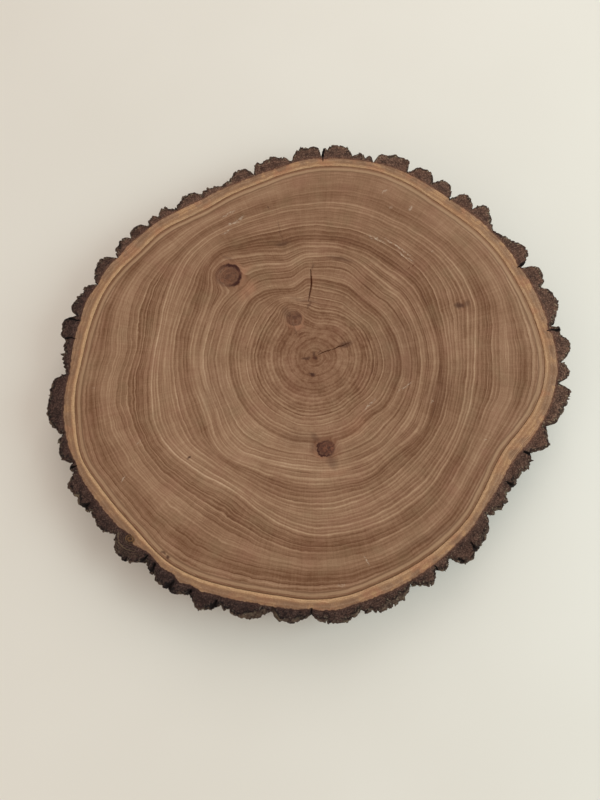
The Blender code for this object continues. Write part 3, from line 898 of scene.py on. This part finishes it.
def wood_material():
    g = Graph("wood")
    reach_out = g.vector("LENGTH", g.flat, output="Value")

    # The rings run round the knots
    wobble = g.add("TexNoise", {"Vector": g.place, "Scale": WOBBLE_SCALE, "Detail": 4})
    wobble = g.scaled(g.vector("SUBTRACT", wobble.outputs["Color"], (0.5, 0.5, 0.5)), WOBBLE)
    near = g.vector("ADD", g.place, wobble)
    near_knots = g.vector("ADD", g.place, g.scaled(wobble, KNOT_WOBBLE))
    knots = [(*oval(g, near_knots, *shape), *shades) for shape, _, *shades in KNOTS]
    sway = g.shift(g.attribute("ring"), g.noise(17, 2), 0.9)
    for (away, *_), (_, push, *_) in zip(knots, KNOTS):
        sway = g.plus(sway, g.fade(away, 1.7, 0, 0, -push))
    sway = g.shift(sway, g.noise(6, 2), g.fade(reach_out, 34, 6, 0, 1.3))
    tone, year_relief = wood_tone(g, reach_out, sway)

    # Colour, rosier and greener in patches and redder in the heartwood
    colour = g.ramp(tone, painted(
        (0, (79, 45, 26)), (0.25, (107, 71, 46)), (0.5, (138, 102, 75)), (0.75, (162, 127, 97)),
        (1, (190, 156, 125))))
    rosy = g.noise(21, 3, 0.6)
    colour = g.tint(colour, (143, 98, 76), rosy, 0.5, 0.75, 0.28)
    colour = g.tint(colour, (126, 102, 72), rosy, 0.5, 0.25, 0.28)
    colour = g.tint(colour, (118, 76, 54), reach_out, 48, 14, 0.25)

    # Knots, scuffs, stains, specks and cracks
    colour = with_knots(g, colour, knots)
    for *shape, amount in WARM_PATCHES:
        colour = g.tint(colour, WARM_COLOUR, oval(g, near, *shape)[0], 1.2, 0.2, amount)
    colour = with_scuffs(g, colour, near)
    colour = with_last_rings(g, colour)
    for *shape, amount in STAINS:
        colour = g.tint(colour, STAIN_COLOUR, oval(g, near, *shape)[0], 1.15, 0.25, amount)
    specks = g.times(g.fade(g.spots(0.9), 0.3, 0.1), g.fade(g.noise(12), 0.45, 0.65))
    colour = g.mix(g.times(specks, 0.3), colour, paint(84, 56, 40))
    colour = g.tint(colour, (98, 53, 29), g.attribute("crack"), 0, 0.9)

    relief = g.add_times(g.noise(0.8, 3, 0.7), year_relief, -0.3)
    return g.finish(colour, g.fade(tone, 0, 1, 0.8, 0.66), 0.2, relief, 0.12, 0.5)


# The way to the shaded side of the bark, at the lower left
SHADED_WAY = (-0.82, -0.57)


def tan_bark(g, across, grain, warm):
    """Inner bark: a pale band next to the cambium, browner and greyer further out."""
    frayed = g.shift(across, g.noise(6, 4, 0.6), 0.7)
    tan = g.ramp(frayed, painted(
        (0, (170, 129, 92)), (0.1, (192, 152, 113)), (0.3, (182, 143, 106)), (0.46, (154, 119, 90)),
        (0.85, (148, 116, 91)), (1, (126, 92, 69))))

    # Warm, pink and dull patches, and two even halves at the lower left: the outer half darker with
    # painted shade, the inner half paler
    tan = g.tint(tan, (180, 126, 88), warm, 0.5, 0.68, 0.4)
    tan = g.tint(tan, (148, 120, 97), warm, 0.48, 0.3, 0.4)
    tan = g.tint(tan, (174, 117, 86), g.noise(19, 2), 0.5, 0.64, 0.6)
    dull = g.noise(13, 3, 0.6, g.vector("ADD", g.place, (60, 0, 0)))
    outward = g.fade(across, 0.3, 0.6)
    tan = g.mix(g.times(outward, g.fade(dull, 0.5, 0.6, 0, 0.9)), tan, paint(128, 98, 76))
    tan = g.mix(g.times(outward, g.fade(dull, 0.48, 0.39, 0, 0.9)), tan, paint(184, 141, 101))
    shaded = g.fade(g.towards(*SHADED_WAY), 20, 140)
    tan = g.mix(g.times(shaded, g.fade(across, 0.26, 0.46, 0, 0.5)), tan, paint(128, 97, 74))
    tan = g.mix(g.times(shaded, g.fade(across, 0.36, 0.2, 0, 0.6)), tan, paint(206, 164, 120))

    # Threads along the bark, rays across it, grain, and the line of the cambium
    out = g.attribute("out")
    threads = g.noise_along(g.shift(out, g.noise(7, 2), 3), 1.1, 3, 0.65)
    tan = g.tint(tan, (126, 88, 60), threads, 0.65, 0.35, 0.5)
    tan = g.tint(tan, (204, 166, 128), threads, 0.5, 0.7, 0.45)
    tan = g.tint(tan, (118, 84, 60), g.rays(170, out, 0.25, 3, 0.6), 0.6, 0.3, 0.2)
    tan = g.tint(tan, (112, 80, 57), grain, 0.6, 0.4, 0.2)
    tan = g.tint(tan, (204, 170, 134), grain, 0.52, 0.75, 0.2)
    tan = g.tint(tan, (128, 88, 58), g.apart(frayed, 0.3), 0.1, 0.02, 0.3)
    return g.tint(tan, (112, 73, 45), g.shift(out, g.noise(3), 0.5), 0.5, 0.1, 0.4)


def sawn_bark(g, past, blotch, grain, warm):
    """Sawn face of the dark outer bark, in layers that follow its edge and its inner border."""
    edge = g.attribute("edge")
    sawn = g.ramp(blotch, painted(
        (0.32, (54, 37, 30)), (0.44, (90, 64, 51)), (0.55, (115, 83, 66)), (0.72, (142, 108, 88))))
    layers = g.noise_along(g.shift(edge, g.noise(6, 3), 6), 1.5, 3, 0.65)
    sawn = g.tint(sawn, (52, 35, 28), layers, 0.6, 0.35, 0.55)
    sawn = g.tint(sawn, (136, 104, 84), layers, 0.55, 0.75, 0.4)
    fine_layers = g.noise_along(g.shift(past, g.noise(8, 2), 5), 0.9, 2, 0.6)
    sawn = g.tint(sawn, (44, 30, 25), fine_layers, 0.46, 0.3, 0.45)
    sawn = g.tint(sawn, (148, 116, 94), fine_layers, 0.54, 0.7, 0.4)
    sawn = g.tint(sawn, (104, 68, 53), warm, 0.45, 0.65, 0.3)
    sawn = g.tint(sawn, (40, 28, 23), grain, 0.58, 0.42, 0.6)
    sawn = g.tint(sawn, (150, 121, 102), grain, 0.54, 0.7, 0.6)

    # A dark edge here and there, black holes near it that are painted shade of small pits, more of them
    # on the shaded side, pale flecks near the edge, and a brown border inside
    shaded = g.towards(*SHADED_WAY)
    ragged = g.shift(edge, g.noise(2, 2), 2.2)
    dark_edge = g.fade(g.noise(5, 3), 0.4, 0.6, 0.2, 1)
    dark_edge = g.times(g.fade(ragged, 1.8, 0.4, 0, 0.85), dark_edge)
    sawn = g.mix(dark_edge, sawn, paint(36, 26, 22))
    pit_shade = g.fade(g.noise(2.8, 3, 0.65), 0.58, 0.66, 0, 0.85)
    pit_shade = g.times(pit_shade, g.fade(edge, 6, 2), g.fade(shaded, -60, 120, 0.3, 1))
    sawn = g.mix(pit_shade, sawn, paint(24, 17, 15))
    flecks = g.times(g.fade(edge, 2.2, 1), g.fade(g.noise(1.3, 2), 0.58, 0.66, 0, 0.7))
    sawn = g.mix(flecks, sawn, paint(150, 132, 104))
    sawn = g.tint(sawn, (100, 62, 46), past, 2.2, 0.2, 0.45)

    # Painted shade: darker at the left and at the bottom, and on the outer bark away from the wood
    # everywhere but the upper right
    sawn = g.mix(g.fade(shaded, 20, 140), sawn, (0.52, 0.53, 0.6, 1), "MULTIPLY")
    shade_below = g.fade(g.towards(0.2, -1), 70, 150)
    sawn = g.mix(shade_below, sawn, (0.76, 0.78, 0.82, 1), "MULTIPLY")
    outer_shade = g.times(g.fade(past, 2, 4.5), g.fade(shaded, -130, -60))
    return g.mix(outer_shade, sawn, (0.85, 0.83, 0.83, 1), "MULTIPLY")


def with_whorl(g, tan, sawn, past, blotch):
    """The bark's sawn face, tan and dark, with a small whorl and faint arcs round it."""
    whorl_at, _ = oval(g, g.place, *WHORL)
    turning = g.shift(whorl_at, g.noise(2.2, 2), 1)
    whorl = g.noise_along(g.plus(turning, 3), 0.3, 1)
    whorl = g.mix(g.fade(whorl, 0.42, 0.58), paint(50, 36, 27), paint(118, 84, 50))
    whorl = g.tint(whorl, (56, 38, 26), turning, 0.5, 0.2, 0.8)
    arcs = g.fade(g.noise_along(g.plus(turning, 9), 0.34, 1), 0.52, 0.68, 0, 0.4)
    arcs = g.times(arcs, g.fade(whorl_at, 4.8, 3), g.fade(past, 2, 5))
    sawn = g.mix(arcs, sawn, paint(116, 98, 74))
    border = g.shift(past, g.noise(2.4, 3), 2)
    face = g.mix(g.fade(border, -0.4, 0.4), tan, sawn)
    return g.mix(g.fade(g.shift(whorl_at, blotch, 0.8), 1.15, 0.8, 0, 0.8), face, whorl)


def weathered_bark(g, skin, grain):
    """The outer wall and its crumbled edges, with lichen and pale chips, and dark brown painted shade in
    the furrows.
    """
    wall = g.ramp(skin, painted(
        (0.28, (36, 27, 23)), (0.42, (66, 50, 42)), (0.55, (92, 74, 61)), (0.75, (128, 110, 90))))
    wall = g.tint(wall, (112, 105, 80), g.noise(9, 5, 0.7), 0.52, 0.66, 0.45)
    # Painted shade in the furrows, darker the deeper they sink
    wall = g.tint(wall, (50, 32, 26), g.attribute("sunk"), 3, 11, 0.8)
    chips = g.times(g.fade(g.spots(2.6), 0.42, 0.2), g.fade(grain, 0.5, 0.62), 0.6)
    return g.mix(chips, wall, paint(168, 154, 128))


def bark_material():
    g = Graph("bark")
    across = g.attribute("across")
    past = g.attribute("past")
    crust = g.attribute("crust")
    grain = g.noise(0.9, 3, 0.7)
    blotch = g.noise(4.5, 5, 0.72)
    warm = g.noise(34, 2)
    skin = g.noise(5, 5, 0.68, g.vector("MULTIPLY", g.place, (1, 1, 0.45)))

    tan = tan_bark(g, across, grain, warm)
    sawn = sawn_bark(g, past, blotch, grain, warm)
    face = with_whorl(g, tan, sawn, past, blotch)
    colour = g.mix(crust, face, weathered_bark(g, skin, grain))

    # Painted shade in the crumbled hollows and cracks of the sawn face; the cracks also dip into the mesh
    hollow_shade = g.shift(g.attribute("crumbled"), g.noise(1.7, 3, 0.7), 1.5)
    colour = g.tint(colour, (23, 17, 15), hollow_shade, 0.38, 0.62, 0.9)
    colour = g.tint(colour, (28, 20, 17), g.attribute("pit"), 0, 0.7)

    rough = g.plus(g.times(grain, 0.6), skin)
    even = g.times(g.plus(blotch, grain), 0.3)
    return g.finish(colour, 0.92, 0.15, g.mix(crust, even, rough), 0.9, 0.6)


def floor_material():
    g = Graph("floor")
    colour = g.mix(g.noise(160, 2), paint(221, 213, 198), paint(228, 221, 207))
    return g.finish(colour, 0.55, 0.25, g.noise(2, 3), 0.05, 0.3)


def dress(piece, node, material):
    piece.data.materials.append(material)
    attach(piece, "root")
    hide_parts(node)


# Floor, camera and light

FLOOR_HALF = 6
FLOOR_TOP = BASE - 0.05


def make_floor():
    mesh = bpy.data.meshes.new("floor")
    signs = ((-1, -1), (1, -1), (1, 1), (-1, 1))
    corners = [(x * FLOOR_HALF, y * FLOOR_HALF, FLOOR_TOP * MM) for x, y in signs]
    mesh.from_pydata(corners, [], [(0, 1, 2, 3)])
    mesh.materials.append(floor_material())
    floor = new_object("floor", mesh)


def make_camera():
    data = bpy.data.cameras.new("camera")
    data.sensor_width = SENSOR
    data.lens = FOCAL_PIXELS / LONG_SIDE_PIXELS * SENSOR
    camera = new_object("camera", data)
    camera.location = (CAMERA_FOOT[0] * MM, CAMERA_FOOT[1] * MM, (TOP + CAMERA_HEIGHT) * MM)
    camera.rotation_euler = (math.radians(CAMERA_TILT), 0, 0)
    bpy.context.scene.camera = camera


# Lamps: (name, place in metres, size in metres, watts, colour)
LAMPS = (
    ("window", (0.95, -0.1, 0.8), 0.8, 7.7, (0.65, 0.9, 1)),
    ("skylight", (0.25, 1.35, 1.25), 1.2, 9, (0.97, 0.98, 1)),
    ("fill", (-0.8, -0.8, 0.6), 0.8, 1.8, (1, 0.96, 0.92)),
)
SKY_COLOUR = (1, 0.923, 0.897, 1)
SKY_STRENGTH = 0.63


def make_light():
    for name, place, size, watts, colour in LAMPS:
        data = bpy.data.lights.new(name, "AREA")
        data.energy = watts
        data.size = size
        data.color = colour
        lamp = new_object(name, data)
        lamp.location = place
        lamp.rotation_euler = (-Vector(place)).to_track_quat("-Z", "Y").to_euler()
    world = bpy.data.worlds.new("sky")
    world.use_nodes = True
    background = world.node_tree.nodes["Background"]
    background.inputs["Color"].default_value = SKY_COLOUR
    background.inputs["Strength"].default_value = SKY_STRENGTH
    bpy.context.scene.world = world
    bpy.context.scene.view_settings.view_transform = "Standard"


def main():
    wood = make_wood(tree_of("wood"))
    bark, flakes = make_bark(tree_of("bark"))
    bark_look = bark_material()
    dress(wood, "wood", wood_material())
    dress(bark, "bark", bark_look)
    dress(flakes, "bark", bark_look)
    make_floor()
    make_camera()
    make_light()


main()
